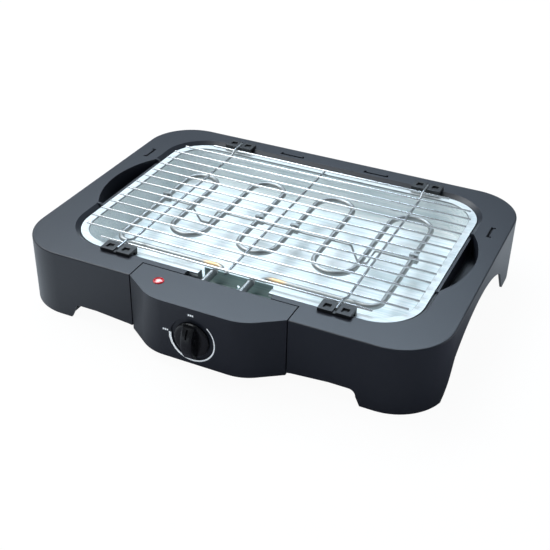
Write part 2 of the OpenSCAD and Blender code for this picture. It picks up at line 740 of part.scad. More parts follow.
// Round knob with a raised finger grip and a short pointer groove
module knob() {
    disc_front = box_front - 3;
    grip_w = 13;
    grip_r = 30;
    color(black_colour) translate([knob_x, 0, knob_z]) difference() {
        union() {
            translate([0, dish_y - 0.4, 0]) rotate([90, 0, 0])
                cylinder(d = knob_d, h = dish_y - 0.4 - disc_front, $fn = 96);
            intersection() {
                translate([0, disc_front + 1, 0]) rotate([90, 0, 0])
                    cylinder(d = knob_d - 2, h = 40, $fn = 96);
                translate([-grip_w / 2, box_front - knob_reach, -knob_d])
                    cube([grip_w, knob_reach, 2 * knob_d]);
                translate([0, box_front - knob_reach + grip_r, 0]) rotate([0, 90, 0])
                    cylinder(r = grip_r, h = 60, center = true, $fn = 96);
            }
        }
        translate([-0.8, box_front - knob_reach - 1, knob_d / 2 - 10]) cube([1.6, 7, 12]);
        translate([0, dish_y + 1, 0]) rotate([90, 0, 0])
            cylinder(d = shaft_d + 2 * bore_gap, h = dish_y + 1 - box_front + 6 + seat_gap, $fn = 48);
    }
}

module lamp_lens() {
    color(red_colour) translate([lens_x, lens_y, 0]) difference() {
        union() {
            translate([0, 0, rim_h - 8]) cylinder(d = lens_d - 1.9, h = 8, $fn = 48);
            translate([0, 0, rim_h]) cylinder(d = lens_d, h = 0.8, $fn = 48);
            translate([0, 0, rim_h + 0.8]) cylinder(d = lens_d - 3, h = 0.8, $fn = 48);
        }
        translate([0, 0, rim_h - 9]) cylinder(d = 8, h = 7.5, $fn = 48);
    }
}

module neon_lamp() {
    color("#f0c8b0") translate([lens_x, lens_y, lamp_low]) cylinder(d = 7.8, h = lamp_h, $fn = 32);
}

module terminal_block() {
    color(ceramic_colour) translate([block_x, block_y - 9, cover_top]) difference() {
        cube([36, 18, 13]);
        for (i = [0:2]) {
            translate([7 + 11 * i, -1, hole_z - cover_top]) rotate([-90, 0, 0])
                cylinder(d = 4, h = 20, $fn = 32);
            translate([7 + 11 * i, 5, 6.5]) cylinder(d = 3, h = 10, $fn = 32);
        }
    }
}

module terminal_screws() {
    color(brass_colour) for (i = [0:2])
        translate([block_x + 7 + 11 * i, block_y - 4, hole_z + lead_d / 2])
        cylinder(d = 3, h = 5, $fn = 32);
}

// Bushing where the supply cord enters the box
module cord_gland() {
    color(black_colour) translate([gland_x, 0, gland_z]) difference() {
        union() {
            translate([0, box_back + 2.5, 0]) rotate([90, 0, 0]) cylinder(d = 16, h = 2.5);
            translate([0, box_back + 7, 0]) rotate([90, 0, 0]) cylinder(d = 11.9, h = 18);
        }
        translate([0, box_back + 8, 0]) rotate([90, 0, 0]) cylinder(d = gland_bore, h = 20);
    }
}

module cord_clamp() {
    color(black_colour) translate([gland_x, clamp_y, gland_z - 1]) difference() {
        translate([-13.5, -3.5, 0]) cube([27, 7, 6]);
        translate([0, 5, 1]) rotate([90, 0, 0]) cylinder(d = gland_bore, h = 10, $fn = 32);
        for (s = [-1, 1]) translate([s * clamp_x, 0, -1])
            cylinder(d = screw_d + 2 * bore_gap, h = 10, $fn = 32);
    }
}

module clamp_screws() {
    color(steel_colour) for (s = [-1, 1]) translate([gland_x + s * clamp_x, clamp_y, gland_z + 5])
        rotate([180, 0, 0]) screw(12);
}

// Switch that lets the element heat only while the box sits in its bay
module safety_switch() {
    color(black_colour) difference() {
        translate([switch_x, shelf_y - switch_w / 2, switch_z])
            cube([box_hw - box_wall - switch_x, switch_w, switch_h]);
        translate([plunger_x, shelf_y, shelf_z])
            cylinder(d = plunger_d + 2 * bore_gap, h = box_wall + 7.5, $fn = 32);
    }
}

module switch_plunger() {
    color(ceramic_colour) translate([plunger_x, shelf_y, shelf_z + seat_gap])
        cylinder(d = plunger_d, h = box_wall + 5, $fn = 32);
}

// Lead inside the box, from one terminal to the next
module lead(points, tint) {
    color(tint) bent_rod(points, lead_d);
}

module lead_live() {
    start = [block_x + 29, block_y - 6, hole_z];
    end_x = switch_x + 6;
    y = block_y + 10.5;
    z = switch_z + 6;
    lead([
        start, [start.x, y, hole_z], [start.x, y, z], [end_x, y, z], [end_x, shelf_y - switch_w / 2, z],
    ], "#6b3a22");
}

module lead_switched() {
    x = switch_x + 6;
    end_x = knob_x + tab_x;
    z = switch_z + 28;
    lead([
        [x, shelf_y, switch_z + switch_h], [x, shelf_y, z], [x, tab_y, z], [end_x, tab_y, z], [end_x,
            tab_y, tab_top],
    ], black_colour);
}

module lead_element() {
    start_x = knob_x - tab_x;
    end_x = terminal_x - terminal_gap / 2;
    lead([
        [start_x, tab_y, tab_top], [start_x, tab_y, lead_z], [end_x, tab_y, lead_z], [end_x, pin_end,
            lead_z],
    ], "#7a2f22");
}

module lead_neutral() {
    start = [block_x + 7, block_y - 6, hole_z];
    end_x = terminal_x + terminal_gap / 2;
    lead([
        start, [start.x, pin_end + 2, hole_z], [end_x, pin_end + 2, hole_z], [end_x, pin_end + 2,
            lead_z - pin_d / 2],
    ], "#2d4a78");
}

module lead_earth() {
    start = [block_x + 18, block_y - 6, hole_z];
    end_x = cut_x + shield_screw_x;
    y = pin_end - 5;
    lead([
        start, [start.x, y, hole_z], [start.x, y, shield_screw_z], [end_x, y, shield_screw_z],
        [end_x, box_back + shield_t - 7, shield_screw_z],
    ], "#9aa23a");
}

// The lamp's two leads, one to each end of the element
module lamp_leads() {
    end_z = lead_z - pin_d / 2;
    for (s = [-1, 1]) {
        start_x = lens_x - 2 * s;
        end_x = terminal_x + s * terminal_gap / 2;
        y = pin_end + 4 + 2 * s;
        z = lamp_low - 10 - 2 * s;
        lead([
            [start_x, lens_y, lamp_low], [start_x, lens_y, z], [start_x, y, z], [end_x, y, z], [end_x,
                y, end_z],
        ], "#8a2a22");
    }
}

// The assembly, moved so that the origin is under the middle of the outline
module placed() {
    translate([0, to_origin, 0]) children();
}

placed() housing();
for (i = [0:3]) placed() foot_pad(i);
placed() water_tray();
for (i = [0:3]) placed() rack_holder(i);
placed() holder_rivets();
placed() rack_bars();
placed() middle_wire();
for (i = [0:1]) placed() outer_wire(2 * i - 1);
placed() heating_element();
for (i = [0:1]) placed() element_sleeve(2 * i - 1);
for (i = [0:1]) placed() terminal_pin(2 * i - 1);
placed() support_wire();
for (i = [0:3]) placed() element_clip(i);
placed() heat_shield();
placed() shield_screws();
placed() box_shell();
placed() box_bottom();
placed() bottom_screws();
placed() thermostat();
placed() thermostat_screws();
placed() thermostat_shaft();
placed() knob();
placed() lamp_lens();
placed() neon_lamp();
placed() terminal_block();
placed() terminal_screws();
placed() cord_gland();
placed() cord_clamp();
placed() clamp_screws();
placed() safety_switch();
placed() switch_plunger();
placed() lead_live();
placed() lead_switched();
placed() lead_element();
placed() lead_neutral();
placed() lead_earth();
placed() lamp_leads();
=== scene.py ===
# %% [markdown]
# # An open electric table grill
# The real object is a dark moulded housing on four feet. A pressed steel tray hangs in it, a bent
# tubular heater hangs over the tray from a control box at the front, and a chromed wire rack lies on
# top. Everything that has a real size comes from the CAD frame. This script gives that frame its
# looks: softened edges, grain, rolled steel, printed dial, lamp and light. Every length is in metres.
# %% Load the frame
import json
import math
import bmesh
import bpy
from mathutils import Matrix, Vector


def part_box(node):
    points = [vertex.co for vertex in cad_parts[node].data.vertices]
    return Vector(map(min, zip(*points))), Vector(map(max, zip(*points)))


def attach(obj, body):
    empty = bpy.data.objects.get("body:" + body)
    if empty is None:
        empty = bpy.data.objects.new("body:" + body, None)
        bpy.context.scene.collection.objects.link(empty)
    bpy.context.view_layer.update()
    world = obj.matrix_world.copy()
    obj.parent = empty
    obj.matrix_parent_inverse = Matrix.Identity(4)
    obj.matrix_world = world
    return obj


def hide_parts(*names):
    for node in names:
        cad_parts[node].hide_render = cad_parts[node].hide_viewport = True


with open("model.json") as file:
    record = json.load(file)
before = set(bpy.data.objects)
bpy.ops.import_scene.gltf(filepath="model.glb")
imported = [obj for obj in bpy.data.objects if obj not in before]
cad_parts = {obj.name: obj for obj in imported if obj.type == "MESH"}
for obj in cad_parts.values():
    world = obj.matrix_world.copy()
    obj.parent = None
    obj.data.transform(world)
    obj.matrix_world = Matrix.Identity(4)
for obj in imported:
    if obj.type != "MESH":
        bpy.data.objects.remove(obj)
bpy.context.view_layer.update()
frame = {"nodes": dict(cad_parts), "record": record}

# %% [markdown]
# ## Shader sums
# A finish is a sum of patterns. Built link by link it takes a page of lines, and it is easiest to
# read as a Python expression. One small class wraps a socket, so that `1 - mask * 0.4` adds the two
# Math nodes that it needs. Every other node comes from one method, which finishes and sky share.
# %% Sockets that can be added up
class Value:
    def __init__(self, finish, socket):
        self.finish = finish
        self.socket = socket

    def combine(self, operation, first, second):
        return self.finish.node("ShaderNodeMath", {"operation": operation}, {0: first, 1: second})

    def __add__(self, other):
        return self.combine("ADD", self, other)

    __radd__ = __add__

    def __sub__(self, other):
        return self.combine("SUBTRACT", self, other)

    def __rsub__(self, other):
        return self.combine("SUBTRACT", other, self)

    def __mul__(self, other):
        return self.combine("MULTIPLY", self, other)

    __rmul__ = __mul__

# %% Node trees and finishes
class Tree:
    def __init__(self, tree):
        self.tree = tree

    def node(self, kind, settings, sockets, output=0):
        made = self.tree.nodes.new(kind)
        for key, setting in settings.items():
            setattr(made, key, setting)
        for key, value in sockets.items():
            self.put(made.inputs[key], value)
        return Value(self, made.outputs[output])

    def put(self, socket, value):
        if isinstance(value, Value):
            self.tree.links.new(value.socket, socket)
        else:
            socket.default_value = value


class Finish(Tree):
    def __init__(self, name):
        self.material = bpy.data.materials.new(name)
        self.material.use_nodes = True
        super().__init__(self.material.node_tree)
        self.shader = self.tree.nodes["Principled BSDF"]

    def surface(self, **looks):
        for key, value in looks.items():
            self.put(self.shader.inputs[key.replace("_", " ")], value)
        return self.material

# %% [markdown]
# ## Patterns
# A pattern could be painted on each mesh or drawn as an image. Noise needs neither, and it follows
# any shape. All patterns read Object coordinates, which are metres here, because every object sits
# at the origin. A scale of 1000 therefore means features of about a millimetre.
# %% Places on an object
def spot(finish):
    return finish.node("ShaderNodeTexCoord", {}, {}, "Object")


def coordinate(finish, axis):
    return finish.node("ShaderNodeSeparateXYZ", {}, {0: spot(finish)}, axis)


def distance_from(finish, centre):
    sockets = {0: spot(finish), 1: centre}
    return finish.node("ShaderNodeVectorMath", {"operation": "DISTANCE"}, sockets, "Value")

# %% Noise, bands, bumps and mixes
mix_amount, mix_first, mix_second, mix_result = 0, 6, 7, 2


def noise(finish, scale, detail=2.0, stretch=(1, 1, 1)):
    stretched = finish.node("ShaderNodeMapping", {}, {"Vector": spot(finish), "Scale": stretch})
    sockets = {"Vector": stretched, "Scale": scale, "Detail": detail}
    return finish.node("ShaderNodeTexNoise", {}, sockets, "Fac")


def band(finish, value, low, high):
    sockets = {"Value": value, "From Min": low, "From Max": high}
    return finish.node("ShaderNodeMapRange", {"interpolation_type": "SMOOTHSTEP"}, sockets)


def bump(finish, height, depth, strength=1.0):
    sockets = {"Height": height, "Distance": depth, "Strength": strength}
    return finish.node("ShaderNodeBump", {}, sockets, "Normal")


def mix(finish, amount, first, second):
    first = (*first, 1) if isinstance(first, tuple) else first
    second = (*second, 1) if isinstance(second, tuple) else second
    sockets = {mix_amount: amount, mix_first: first, mix_second: second}
    return finish.node("ShaderNodeMix", {"data_type": "RGBA"}, sockets, mix_result)

# %% [markdown]
# ## Moulded plastic
# The housing and the box are moulded in charcoal plastic from a spark-eroded mould, which leaves a
# fine satin grain. The grain could be modelled, but a Bump node gives it without a single face. The
# colour is nearly black. What reads as blue-grey on the rim is the sky of the studio in that grain,
# so the roughness matters more than the colour.
# %% Charcoal, black and rubber
def moulding(name, colour, rough, grain=1500, depth=0.00004):
    finish = Finish(name)
    fine = noise(finish, grain, detail=3.0)
    broad = noise(finish, 9, detail=3.0)
    specks = band(finish, noise(finish, 420, detail=1.0), 0.68, 0.8)
    paler = tuple(min(1, c * 1.35 + 0.002) for c in colour)
    base = mix(finish, broad * 0.6 + specks * 0.3, colour, paler)
    return finish.surface(Base_Color=base, Roughness=rough + fine * 0.12 + broad * 0.08,
                          Normal=bump(finish, fine, depth, strength=0.5))


charcoal = moulding("charcoal_grain", (0.0085, 0.0105, 0.0165), rough=0.3)
holder_black = moulding("holder_black", (0.006, 0.0068, 0.0085), rough=0.36, grain=1100)
knob_black = moulding("knob_satin", (0.0035, 0.0037, 0.0045), rough=0.16, grain=1900, depth=0.00002)
inner_black = moulding("inner_black", (0.012, 0.012, 0.013), rough=0.45)
rubber = moulding("foot_rubber", (0.014, 0.014, 0.015), rough=0.68, grain=900, depth=0.00006)
print("Mouldings:", charcoal.name, holder_black.name, knob_black.name, inner_black.name, rubber.name)

# %% [markdown]
# ## Sheet steel
# The tray is pressed from rolled sheet. Rolling leaves long fine lines along the sheet and soft waves
# that bend its reflections. Both are noise, stretched along X for the lines. The fold round the
# tray's flange gets a painted shade: a dark line, which is a band of heights below the flange's top.
# The flange itself is a little darker. The shield and the sleeves share the recipe.
# %% Lines, waves and the tray's painted fold shade
lines_along_x = (1, 60, 60)
streaks_along_x = (0.35, 16, 16)
fold_shade_colour, flange_colour = (0.05, 0.06, 0.065), (0.35, 0.37, 0.38)


def with_fold_shade(finish, base, top):
    # Painted shade: a dark line is mixed into the band of heights just under the flange's top, where
    # the fold turns down. The flange's top is mixed a little darker.
    height = coordinate(finish, "Z")
    below_top = band(finish, height, top - 0.0001, top - 0.0005)
    below_fold = band(finish, height, top - 0.0014, top - 0.0022)
    folded = mix(finish, (below_top - below_fold) * 0.85, base, fold_shade_colour)
    flange = band(finish, height, top - 0.002, top - 0.0012)
    return mix(finish, flange * 0.35, folded, flange_colour)


def rolled_steel(name, colour, rough, waves, metal=0.92, flange_top=None):
    finish = Finish(name)
    lines = noise(finish, 60, detail=4.0, stretch=lines_along_x)
    streaks = band(finish, noise(finish, 30, detail=4.0, stretch=streaks_along_x), 0.42, 0.6)
    wave = noise(finish, 7, detail=1.0)
    smudge = band(finish, noise(finish, 16, detail=5.0), 0.45, 0.75)
    worn = (colour[0] * 0.66, colour[1] * 0.75, colour[2] * 0.765)
    base = mix(finish, lines * 0.2 + smudge * 0.35 + streaks * 0.6, colour, worn)
    if flange_top:
        base = with_fold_shade(finish, base, flange_top)
    return finish.surface(Base_Color=base, Metallic=metal, Roughness=rough + lines * 0.1 + smudge * 0.1,
                          Normal=bump(finish, lines * 0.06 + wave, waves, strength=0.6))

# %% Steel for the tray, the shield, the sleeves and the screws
tray_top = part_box("water_tray")[1][2]
tray_steel = rolled_steel("rolled_tray_steel", (0.83, 0.855, 0.855), rough=0.42, waves=0.0004,
                          metal=0.3, flange_top=tray_top)
shield_steel = rolled_steel("shield_steel", (0.43, 0.5, 0.485), rough=0.35, waves=0.0004, metal=0.6)
sleeve_steel = rolled_steel("sleeve_steel", (0.3, 0.32, 0.33), rough=0.34, waves=0.0001)
bright_steel = rolled_steel("bright_steel", (0.62, 0.64, 0.65), rough=0.26, waves=0.0001)
print("Steels:", tray_steel.name, shield_steel.name, sleeve_steel.name, bright_steel.name)

# %% [markdown]
# ## Chromed wire
# Chrome plating is almost a mirror. Drawn wire keeps a very slight ripple under it, and the rack
# dulls a little where it has been wiped. It could be one flat grey mirror, but the roughness varies
# gently along the bars instead. The three cross wires look darker in the photograph, because they lie
# in the shade of the bars, so they get a darker chrome of their own: that shade is painted.
# %% Chrome
def chrome_plate(name, rough, bright, dull):
    finish = Finish(name)
    wiped = noise(finish, 25, detail=3.0)
    ripple = noise(finish, 300, detail=1.0)
    base = mix(finish, wiped, bright, dull)
    return finish.surface(Base_Color=base, Metallic=0.78, Roughness=rough + wiped * 0.12,
                          Normal=bump(finish, ripple, 0.00002, strength=0.4))


rack_chrome = chrome_plate("rack_chrome", 0.1, bright=(0.86, 0.875, 0.885), dull=(0.74, 0.76, 0.775))
# Painted shade: the cross wires get a darker chrome for the shade that the bars cast on them.
shaded_cross_chrome = chrome_plate("shaded_cross_chrome", 0.16, bright=(0.42, 0.44, 0.45), dull=(0.3, 0.315, 0.325))
print("Chromes:", rack_chrome.name, shaded_cross_chrome.name)

# %% [markdown]
# ## The element's sheath
# The sheath is annealed steel tube. It is grey-green and dull, mottled by heat, and where the hot
# part begins, near the two cold ends, the steel shows straw and orange heat colours. They could be
# painted on, but a mask of the distance from each such place needs no second mesh or image.
# %% Annealed tube with heat colours
element_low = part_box("heating_element")[0]
heat_start_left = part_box("element_sleeve_1")[0][0] - 0.012
heat_start_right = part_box("element_sleeve_2")[1][0] + 0.014
heat_y, heat_z = element_low[1] + 0.056, element_low[2] + 0.004
heat_core, heat_fade = 0.003, 0.015
straw_colour = (0.8, 0.5, 0.22)


def annealed(name, tinted=True):
    finish = Finish(name)
    mottle = noise(finish, 55, detail=5.0)
    fine = noise(finish, 900, detail=2.0)
    base = mix(finish, mottle, (0.24, 0.252, 0.252), (0.42, 0.43, 0.425))
    if tinted:
        for x in (heat_start_left, heat_start_right):
            patch = 1 - band(finish, distance_from(finish, (x, heat_y, heat_z)), heat_core, heat_fade)
            base = mix(finish, patch * 0.75, base, straw_colour)
    return finish.surface(Base_Color=base, Metallic=0.85, Roughness=0.28 + mottle * 0.2,
                          Normal=bump(finish, fine, 0.00003, strength=0.5))


element_sheath = annealed("annealed_sheath")
wire_steel = annealed("annealed_wire", tinted=False)
print("Heat colours start at x:", round(heat_start_left, 4), round(heat_start_right, 4))

# %% [markdown]
# ## Small finishes
# What sits inside the box or under it gets its own finish too: pale ceramic, brass screws, silicone
# sleeving on the leads and the thermostat's satin metal. One recipe with a fine grain serves them
# all, because they are small and seldom seen.
# %% Ceramic, brass, glass and print
def plain_grain(name, colour, rough, metal=0.0, scale=600):
    finish = Finish(name)
    fine = noise(finish, scale, detail=2.0)
    broad = noise(finish, 40, detail=2.0)
    base = mix(finish, broad * 0.7, colour, tuple(c * 0.8 for c in colour))
    return finish.surface(Base_Color=base, Metallic=metal, Roughness=rough + fine * 0.1,
                          Normal=bump(finish, fine, 0.00003, strength=0.4))


ceramic = plain_grain("unglazed_ceramic", (0.72, 0.7, 0.64), rough=0.6)
brass = plain_grain("brass_screw", (0.78, 0.58, 0.26), rough=0.25, metal=1.0)
thermostat_metal = plain_grain("thermostat_metal", (0.5, 0.5, 0.48), rough=0.35, metal=0.8)
dial_print = plain_grain("dial_print", (0.97, 0.97, 0.97), rough=0.45, scale=2500)
neon_glass = plain_grain("neon_glass", (0.85, 0.62, 0.5), rough=0.08)
sleeving = {
    "lead_live": (0.15, 0.045, 0.02), "lead_switched": (0.01, 0.01, 0.012),
    "lead_element": (0.2, 0.03, 0.02), "lead_neutral": (0.03, 0.07, 0.2),
    "lead_earth": (0.32, 0.36, 0.05), "lamp_leads": (0.25, 0.03, 0.02),
}
print("Sleeved leads:", len(sleeving))

# %% [markdown]
# ## The red of the lamp
# The lens is clear red, with a pale pink highlight in its middle. The highlight is painted: a mask of
# the distance from the lens's top lightens the base colour there, so the same spot shows from every
# side, and the lens needs one piece only.
# %% Lens with a painted highlight in its middle
lens_low, lens_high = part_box("lamp_lens")
lens_x = (lens_low[0] + lens_high[0]) / 2
lens_y = (lens_low[1] + lens_high[1]) / 2
highlight_centre = (lens_x, lens_y, lens_high[2] - 0.0008)
highlight_core, highlight_fade = 0.0018, 0.0042


def lens_with_painted_highlight(name):
    finish = Finish(name)
    # Painted highlight: the base colour turns pale pink near the top of the lens.
    glow = 1 - band(finish, distance_from(finish, highlight_centre), highlight_core, highlight_fade)
    cloud = noise(finish, 500, detail=2.0)
    base = mix(finish, glow * (0.6 + cloud * 0.5), (0.55, 0.012, 0.02), (1, 0.62, 0.6))
    return finish.surface(Base_Color=base, Coat_Weight=0.6, Roughness=0.12 + cloud * 0.08,
                          Normal=bump(finish, cloud, 0.00003, strength=0.4))


lens_red = lens_with_painted_highlight("lens_red")
print("Lens middle:", round(lens_x, 4), round(lens_y, 4))

# %% [markdown]
# ## Every node's finish
# The record names a material slot for each CAD node, so a table from slot to finish dresses them all.
# Each node could be named in turn, but then a new node would stay undressed. Only the leads differ
# inside one slot, because each has the colour of its own sleeving.
# %% Give every node its finish
finish_of_slot = {
    "charcoal_moulding": charcoal, "rubber": rubber, "tray_steel": tray_steel,
    "holder_black": holder_black, "rack_chrome": rack_chrome, "element_steel": wire_steel,
    "bright_steel": bright_steel, "knob_black": knob_black, "lens_red": lens_red,
    "lamp_glass": neon_glass, "thermostat_metal": thermostat_metal, "block_ceramic": ceramic,
    "screw_brass": brass, "inner_black": inner_black,
}
slot_of = {entry["node"]: entry["material_slot"] for entry in frame["record"]["subparts"]}
for name, node in frame["nodes"].items():
    look = finish_of_slot.get(slot_of[name])
    if name in sleeving:
        look = plain_grain(name + "_sleeving", sleeving[name], rough=0.4)
    node.data.materials.clear()
    node.data.materials.append(look)
print("Finished nodes:", len(frame["nodes"]))

# %% [markdown]
# ## Soft edges
# A CAD solid has knife edges, and nothing moulded or pressed has. A Bevel modifier would round every
# edge alike. The bevel operator takes only the edges that are picked, so a copy of the node's mesh
# has its loose triangles merged, its flat neighbours joined and its sharp edges bevelled by 0.2 to
# 1.6 mm. Face-area weighted normals then keep the flat faces flat in the light.
# %% Helpers for softened meshes
same_place = 0.000002
flat_within = math.radians(0.4)


def merged_copy(node, join_flats=True):
    mesh = bmesh.new()
    mesh.from_mesh(frame["nodes"][node].data)
    bmesh.ops.remove_doubles(mesh, verts=mesh.verts, dist=same_place)
    if join_flats:
        bmesh.ops.dissolve_limit(mesh, angle_limit=flat_within, verts=mesh.verts, edges=mesh.edges)
    return mesh


def soften(mesh, width, segments=2, sharper_than=35, pick=None):
    edges = [e for e in mesh.edges
             if len(e.link_faces) == 2 and e.calc_face_angle(0) > math.radians(sharper_than)
             and e.calc_length() > width * 0.5 and (pick is None or pick(e))]
    bmesh.ops.bevel(mesh, geom=edges, offset=width, offset_type="OFFSET", segments=segments,
                    profile=0.5, affect="EDGES", clamp_overlap=True, material=-1)
    return len(edges)


def moved_verts(result):
    return [part for part in result["geom"] if isinstance(part, bmesh.types.BMVert)]

# %% Helper for pieces
def piece(name, mesh, look, body, slot, *stands_for, smooth_below=38, weighted=True):
    for face in mesh.faces:
        face.smooth = True
    for edge in mesh.edges:
        edge.smooth = edge.calc_face_angle(0) < math.radians(smooth_below)
    data = bpy.data.meshes.new(name)
    mesh.to_mesh(data)
    mesh.free()
    data.materials.append(look)
    made = bpy.data.objects.new(name, data)
    bpy.context.scene.collection.objects.link(made)
    if weighted:
        made.modifiers.new("flat_faces_stay_flat", "WEIGHTED_NORMAL").keep_sharp = True
    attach(made, body)
    if stands_for:
        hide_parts(*stands_for)
    print(f"{name}: {len(data.polygons)} faces")

# %% [markdown]
# ## The housing
# The rim's outer edge is rounded more than the rest, because the mould's two halves meet there. It
# could be picked by hand in the viewport, but a rule survives a change of size: the edge lies at the
# rim's height, and on a side wall or on a corner's arc.
# %% Housing with a softened outer rim
housing_low, housing_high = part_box("housing")
rim_top, half_width = housing_high[2], housing_high[0]
front_y, back_y = housing_low[1], housing_high[1]
corner_r = 0.06
on_wall, on_arc, on_top = 0.0005, 0.001, 0.0001


def on_outer_rim(edge):
    middle = (edge.verts[0].co + edge.verts[1].co) / 2
    beside_wall = (abs(middle.x) > half_width - on_wall or middle.y > back_y - on_wall
                   or middle.y < front_y + on_wall)
    corner_centre = Vector((half_width - corner_r, (back_y - front_y) / 2 - corner_r))
    from_centre = Vector((abs(middle.x), abs(middle.y - (back_y + front_y) / 2))) - corner_centre
    in_corner = min(from_centre) > 0 and abs(from_centre.length - corner_r) < on_arc
    return all(v.co.z > rim_top - on_top for v in edge.verts) and (beside_wall or in_corner)


housing_mesh = merged_copy("housing")
print("Outer rim edges rounded:", soften(housing_mesh, 0.0016, 3, 60, on_outer_rim))
piece("housing_moulding", housing_mesh, charcoal, "base", "charcoal_moulding", "housing")

# %% [markdown]
# ## The tray, the box and the shield
# The tray's walls fold into its flange round a small radius, which shows as a bright line. Its edges
# are the ones at the flange's top whose lower face is steep. The other edges of these four pieces
# are pressed or moulded too, and get a finer bevel each.
# %% Pressed and moulded pieces
steep_from, steep_to = 0.05, 0.5
softened = [
    ("water_tray", "pressed_tray", tray_steel, "tray", 0.0002, 1),
    ("box_shell", "control_box", charcoal, "heater_unit", 0.0009, 3),
    ("box_bottom", "box_cover", charcoal, "heater_unit", 0.0004, 2),
    ("heat_shield", "folded_shield", shield_steel, "heater_unit", 0.0002, 1),
]


def tray_fold(edge):
    slopes = [face.normal.z for face in edge.link_faces]
    at_top = min(v.co.z for v in edge.verts) > tray_top - on_top
    return at_top and steep_from < min(slopes) < steep_to


for node, name, look, body, width, segments in softened:
    mesh = merged_copy(node)
    if node == "water_tray":
        print("Fold edges rounded:", soften(mesh, 0.0014, 3, 20, tray_fold))
    soften(mesh, width, segments, 40)
    piece(name, mesh, look, body, slot_of[node], node)

# %% Holders, clips and feet
small_pieces = [
    ("rack_holder", "holder", holder_black, "tray", "holder_black", 0.0004),
    ("element_clip", "clip", wire_steel, "heater_unit", "element_steel", 0.0005),
    ("foot_pad", "foot", rubber, "base", "rubber", 0.0006),
]
for index in (1, 2, 3, 4):
    for node, name, look, body, slot, width in small_pieces:
        mesh = merged_copy(f"{node}_{index}")
        soften(mesh, width, 2, 60)
        piece(f"{name}_{index}", mesh, look, body, slot, f"{node}_{index}")

# %% [markdown]
# ## Round bars and tubes
# The element, the support wire and the cross wires are smooth round stock. They could be swept again
# along curves, but their CAD meshes are fine enough, so a merged copy with smooth shading is all
# they need.
# %% Smooth tubes
round_stock = [
    ("heating_element", "element_tube", element_sheath, "heater_unit"),
    ("support_wire", "element_support", wire_steel, "heater_unit"),
    ("outer_wire_1", "cross_wire_left", shaded_cross_chrome, "rack"),
    ("outer_wire_2", "cross_wire_right", shaded_cross_chrome, "rack"),
    ("middle_wire", "cross_wire_middle", shaded_cross_chrome, "rack"),
]
for node, name, look, body in round_stock:
    mesh = merged_copy(node, join_flats=False)
    piece(name, mesh, look, body, slot_of[node], node, smooth_below=50, weighted=False)

# %% [markdown]
# ## Spun pieces
# The sleeves, the knob's disc and the lens are turned shapes. Each could be built from stacked
# cylinders, but a half profile spun about its axis is one clean skin. The spin operator turns a row
# of vertices, so one helper lays the row out and joins it, closed or open.
# %% Helper for profiles
def spun(points, axis, centre, steps, closed=False):
    mesh = bmesh.new()
    row = [mesh.verts.new(point) for point in points]
    following = row[1:] + row[:1] if closed else row[1:]
    for first, second in zip(row, following):
        mesh.edges.new((first, second))
    bmesh.ops.spin(mesh, geom=mesh.verts[:] + mesh.edges[:], cent=centre, axis=axis,
                   angle=math.radians(360), steps=steps, use_merge=True)
    return mesh

# %% [markdown]
# ## Ribbed sleeves
# The element's two cold ends wear short steel sleeves, rolled into shallow ribs so that they grip the
# shield. A threaded screw shape would look alike, but the real ribs are separate rings, so the
# profile repeats one rib along the sleeve.
# %% Ribbed sleeves
sleeve_bore = 0.00335
rib_count = 11
rib_depth, collar_depth = 0.0006, 0.0005
rib_foot, crest_from, crest_to = 0.12, 0.4, 0.65
last_ring = 0.995
for index in (1, 2):
    low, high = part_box(f"element_sleeve_{index}")
    axis_x, axis_z = (low[0] + high[0]) / 2, (low[2] + high[2]) / 2
    outer, length = (high[0] - low[0]) / 2, high[1] - low[1]
    rib_pitch = length / rib_count
    profile = [(sleeve_bore, 0), (outer - collar_depth, 0)]
    for k in range(rib_count):
        start = length * k / rib_count
        profile += [(outer - rib_depth, start + rib_pitch * rib_foot),
                    (outer, start + rib_pitch * crest_from), (outer, start + rib_pitch * crest_to)]
    profile += [(outer - rib_depth, length * last_ring), (outer - rib_depth, length),
                (sleeve_bore, length)]
    points = [(axis_x + r, low[1] + y, axis_z) for r, y in profile]
    sleeve = spun(points, (0, 1, 0), (axis_x, 0, axis_z), steps=40, closed=True)
    bmesh.ops.recalc_face_normals(sleeve, faces=sleeve.faces)
    piece(f"ribbed_sleeve_{index}", sleeve, sleeve_steel, "heater_unit", "bright_steel",
          f"element_sleeve_{index}", smooth_below=50, weighted=False)

# %% [markdown]
# ## The rack's long bars
# Each bar is a cylinder with slightly rounded ends, and at every crossing the resistance weld leaves
# a small flat bead. The bars' lengths differ: the first two and the last two are shorter, to clear
# the tray's corners. Each bar could be its own object, but they move as one, so they are one mesh.
# %% Places of the bars
bars_low, bars_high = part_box("rack_bars")
bar_count = 15
bar_d = bars_high[2] - bars_low[2]
bar_z = (bars_high[2] + bars_low[2]) / 2
bar_pitch = (bars_high[1] - bars_low[1] - bar_d) / (bar_count - 1)
full, corner_cut, end_cut = bars_high[0], 0.0053, 0.0377
half_lengths = ([full - end_cut, full - corner_cut] + [full] * (bar_count - 4)
                + [full - corner_cut, full - end_cut])
crossings = [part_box(name) for name in ("outer_wire_1", "middle_wire", "outer_wire_2")]
crossing_xs = [(low[0] + high[0]) / 2 for low, high in crossings]
print("Bar thickness and pitch:", round(bar_d, 4), round(bar_pitch, 4))

